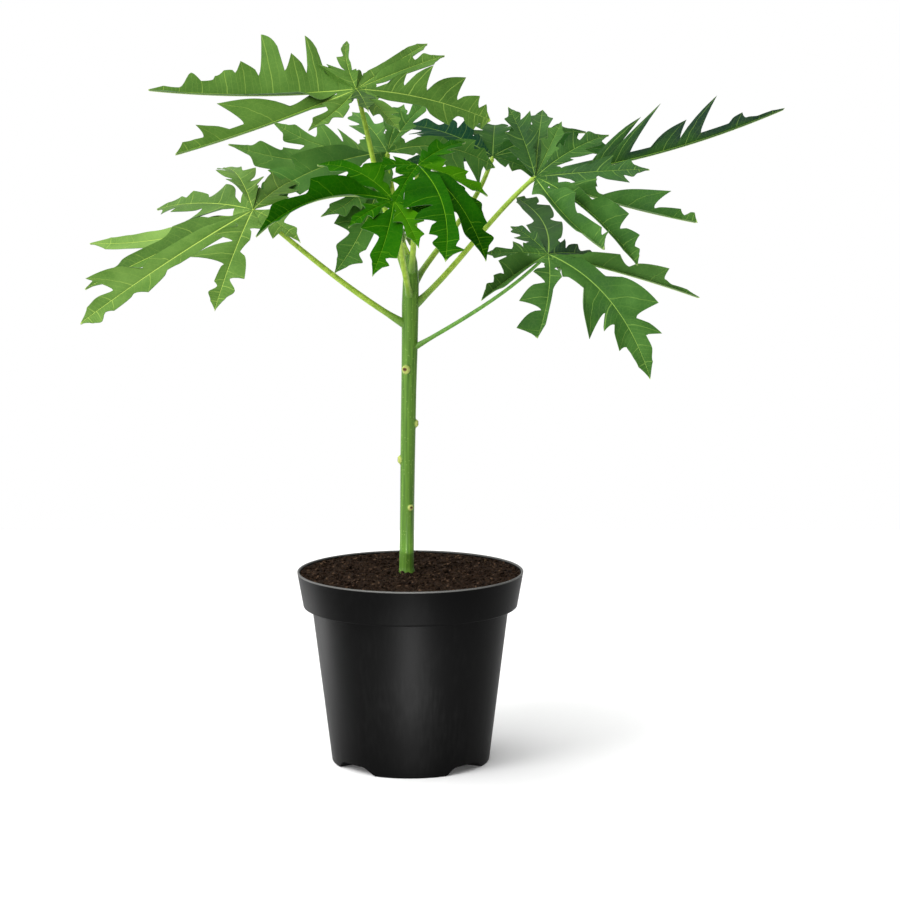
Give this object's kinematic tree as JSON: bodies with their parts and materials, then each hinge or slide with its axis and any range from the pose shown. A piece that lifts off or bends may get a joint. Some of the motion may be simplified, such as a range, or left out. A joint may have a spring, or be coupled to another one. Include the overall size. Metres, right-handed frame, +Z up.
{
  "type": "potted papaya seedling",
  "caption": "Young papaya plant with deeply cut palmate leaves on long stalks, growing from one green stem in a round black nursery pot filled with soil.",
  "frame": {"origin": "centre of the pot's flat underside, on its axis, at floor level", "axes": "+Z up along the pot's axis; +X to the right and +Y away from the viewer in the reference view"},
  "size_m": [0.614, 0.4049, 0.6317],
  "materials": {
    "pot": "satin moulded black plastic",
    "soil": "loose dark potting soil",
    "stem": "smooth green stem with leaf scars",
    "stalk": "smooth yellow-green leaf stalk",
    "leaf": "matte green leaf with pale ribs"
  },
  "bodies": {
    "root": {"pot": "pot", "soil": "soil", "stem": "stem", "tip_bud": "stalk", "stalk_lower_left": "stalk", "stalk_top_left": "stalk", "stalk_back_left": "stalk", "stalk_front_left": "stalk", "stalk_front_right": "stalk", "stalk_right": "stalk", "stalk_lower_right": "stalk", "stalk_back_right": "stalk", "leaf_lower_left": "leaf", "leaf_top_left": "leaf", "leaf_back_left": "leaf", "leaf_front_left": "leaf", "leaf_front_right": "leaf", "leaf_right": "leaf", "leaf_lower_right": "leaf", "leaf_back_right": "leaf"}
  },
  "joints": []
}
